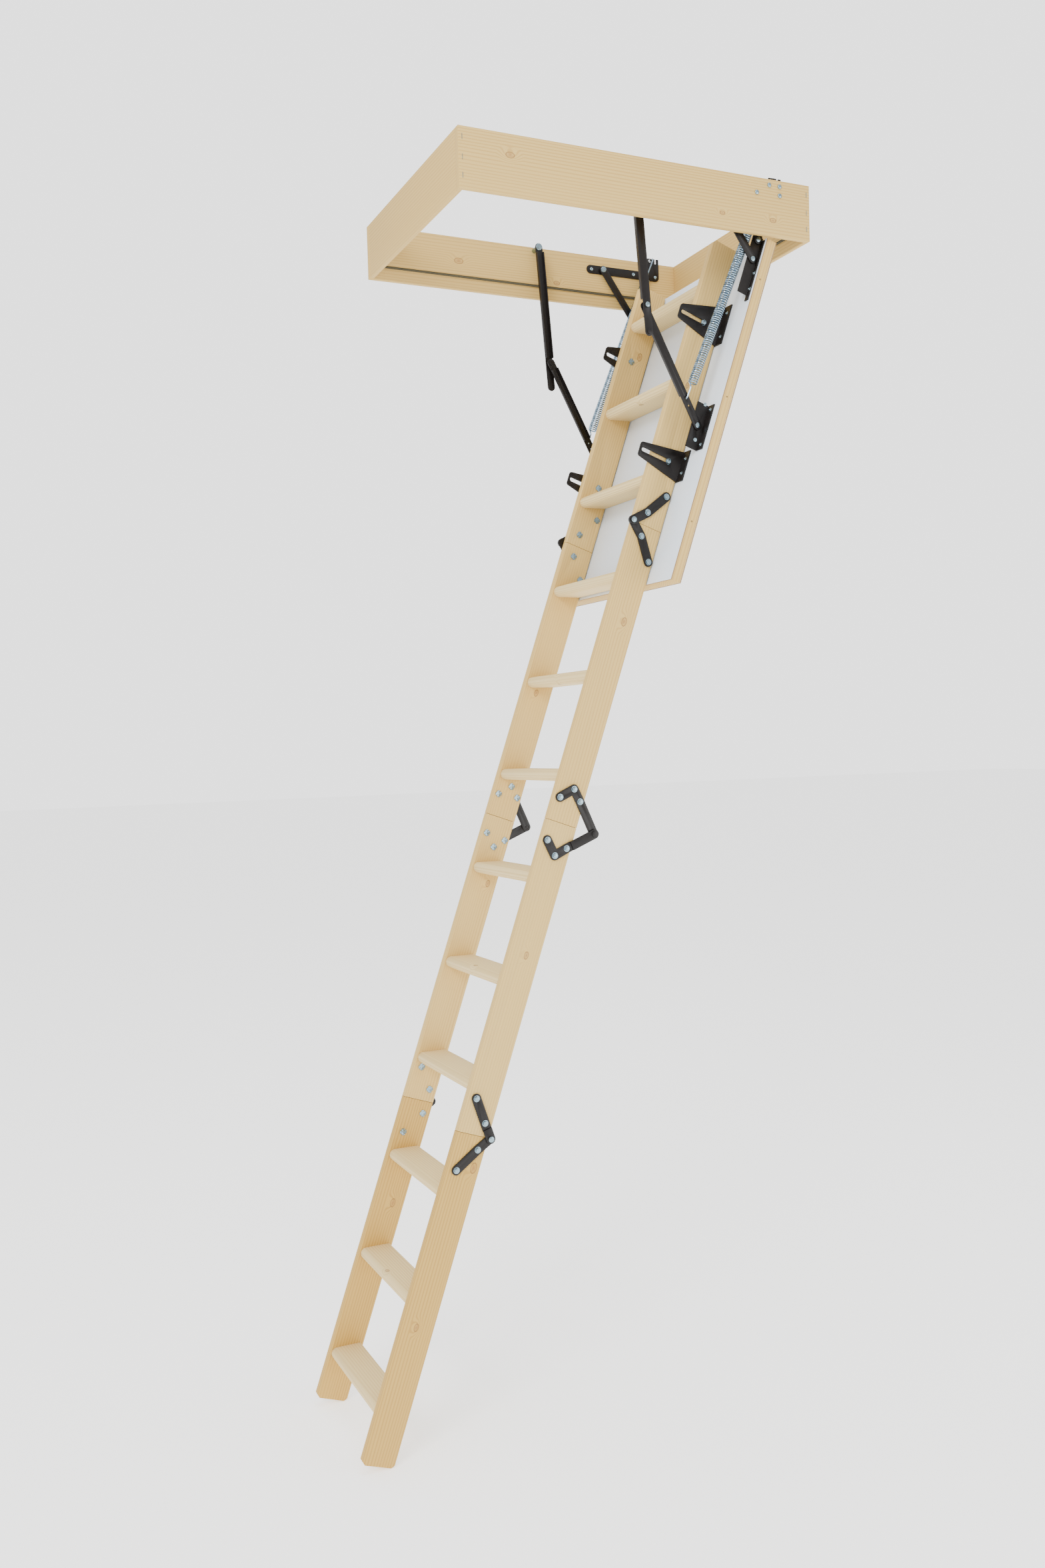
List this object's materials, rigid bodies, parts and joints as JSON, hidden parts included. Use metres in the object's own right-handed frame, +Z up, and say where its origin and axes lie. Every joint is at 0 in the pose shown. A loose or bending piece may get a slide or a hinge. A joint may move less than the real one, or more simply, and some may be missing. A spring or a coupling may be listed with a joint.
{
  "type": "loft ladder",
  "caption": "Folding wooden loft ladder on an insulated hatch panel, with its ceiling frame, swing links, folding arms and springs.",
  "frame": {"origin": "centre of the ceiling opening, level with the underside of the frame", "axes": "+Z up, +X along the long frame boards towards the hinge end, +Y across the opening"},
  "size_m": [1.1654, 0.608, 2.8997],
  "materials": {
    "frame_spruce": "planed, unvarnished",
    "stringer_spruce": "planed, eased edges",
    "tread_spruce": "planed, rounded nose",
    "hatch_pine": "planed",
    "white_sheet": "smooth white",
    "insulation": "foam board",
    "black_steel": "dark powder coat",
    "zinc": "bright zinc plate",
    "spring_steel": "zinc plated wire",
    "seal": "soft foam strip"
  },
  "bodies": {
    "root": {"frame_board_far": "frame_spruce", "frame_board_near": "frame_spruce", "frame_end_free": "frame_spruce", "frame_end_hinge": "frame_spruce", "frame_fixings": "zinc", "frame_seal": "seal", "frame_strap_far": "black_steel", "frame_strap_near": "black_steel"},
    "hatch": {"arm_shoes": "black_steel", "hatch_bar_far": "black_steel", "hatch_bar_near": "black_steel", "hatch_core": "insulation", "hatch_fixings": "zinc", "hatch_rails": "hatch_pine", "hatch_sheet_inner": "white_sheet", "hatch_sheet_outer": "white_sheet", "section_1_bolts": "zinc", "section_1_stringer_far": "stringer_spruce", "section_1_stringer_near": "stringer_spruce", "section_1_tread_1": "tread_spruce", "section_1_tread_2": "tread_spruce", "section_1_tread_3": "tread_spruce", "slot_brackets_lower": "black_steel", "slot_brackets_upper": "black_steel", "hinge_1_upper": "black_steel"},
    "diagonal_links": {"hatch_link_diag_far": "black_steel", "hatch_link_diag_near": "black_steel"},
    "swing_links": {"hatch_link_swing_far": "black_steel", "hatch_link_swing_near": "black_steel"},
    "upper_arms": {"upper_arm_far": "black_steel", "upper_arm_near": "black_steel"},
    "lower_arms": {"lower_arm_far": "black_steel", "lower_arm_near": "black_steel"},
    "springs": {"spring_far": "spring_steel", "spring_near": "spring_steel"},
    "section_2": {"section_2_bolts": "zinc", "section_2_stringer_far": "stringer_spruce", "section_2_stringer_near": "stringer_spruce", "section_2_tread_1": "tread_spruce", "section_2_tread_2": "tread_spruce", "section_2_tread_3": "tread_spruce", "hinge_1_lower": "black_steel", "hinge_2_upper": "black_steel"},
    "section_3": {"section_3_bolts": "zinc", "section_3_stringer_far": "stringer_spruce", "section_3_stringer_near": "stringer_spruce", "section_3_tread_1": "tread_spruce", "section_3_tread_2": "tread_spruce", "section_3_tread_3": "tread_spruce", "hinge_2_lower": "black_steel", "hinge_3_upper": "black_steel"},
    "section_4": {"section_4_bolts": "zinc", "section_4_stringer_far": "stringer_spruce", "section_4_stringer_near": "stringer_spruce", "section_4_tread_1": "tread_spruce", "section_4_tread_2": "tread_spruce", "section_4_tread_3": "tread_spruce", "hinge_3_lower": "black_steel"}
  },
  "joints": [
    {"name": "hatch_swing", "type": "hinge", "parent": "root", "child": "swing_links", "pos_m": [0.3376, 0, 0.095], "axis": [0, -1, 0], "range_deg": [0, 59.14]},
    {"name": "hatch_turn", "type": "hinge", "parent": "swing_links", "child": "hatch", "pos_m": [0.32144, 0, -0.00196], "axis": [0, 1, 0], "range_deg": [0, 121.38]},
    {"name": "diagonal_links_turn", "type": "hinge", "parent": "hatch", "child": "diagonal_links", "pos_m": [0.30509, 0, -0.04815], "axis": [0, -1, 0], "range_deg": [0, 93.57]},
    {"name": "upper_arms_turn", "type": "hinge", "parent": "root", "child": "upper_arms", "pos_m": [0.005, 0, 0.121], "axis": [0, 1, 0], "range_deg": [0, 95.43]},
    {"name": "lower_arms_turn", "type": "hinge", "parent": "hatch", "child": "lower_arms", "pos_m": [0.16245, 0, -0.43895], "axis": [0, -1, 0], "range_deg": [0, 91.83]},
    {"name": "springs_turn", "type": "hinge", "parent": "root", "child": "springs", "pos_m": [0.355, 0, 0.136], "axis": [0, 1, 0], "range_deg": [0, 50.52], "deforming": ["spring_near", "spring_far"]},
    {"name": "fold_first", "type": "hinge", "parent": "hatch", "child": "section_2", "pos_m": [0.01612, 0, -0.65447], "axis": [0, 1, 0], "range_deg": [0, 130]},
    {"name": "fold_second", "type": "hinge", "parent": "section_2", "child": "section_3", "pos_m": [-0.10784, 0, -1.38499], "axis": [0, -1, 0], "range_deg": [0, 130.2]},
    {"name": "fold_third", "type": "hinge", "parent": "section_3", "child": "section_4", "pos_m": [-0.39145, 0, -2.06004], "axis": [0, -1, 0], "range_deg": [0, 180]}
  ],
  "couplings": [
    {"joint": "hatch_turn", "follows": "hatch_swing", "ratio": 2.0484},
    {"joint": "diagonal_links_turn", "follows": "hatch_swing", "ratio": 1.579},
    {"joint": "upper_arms_turn", "follows": "hatch_swing", "ratio": 1.6104},
    {"joint": "lower_arms_turn", "follows": "hatch_swing", "ratio": 1.5497},
    {"joint": "springs_turn", "follows": "hatch_swing", "ratio": 0.85255},
    {"joint": "fold_second", "follows": "fold_first", "ratio": 1}
  ]
}
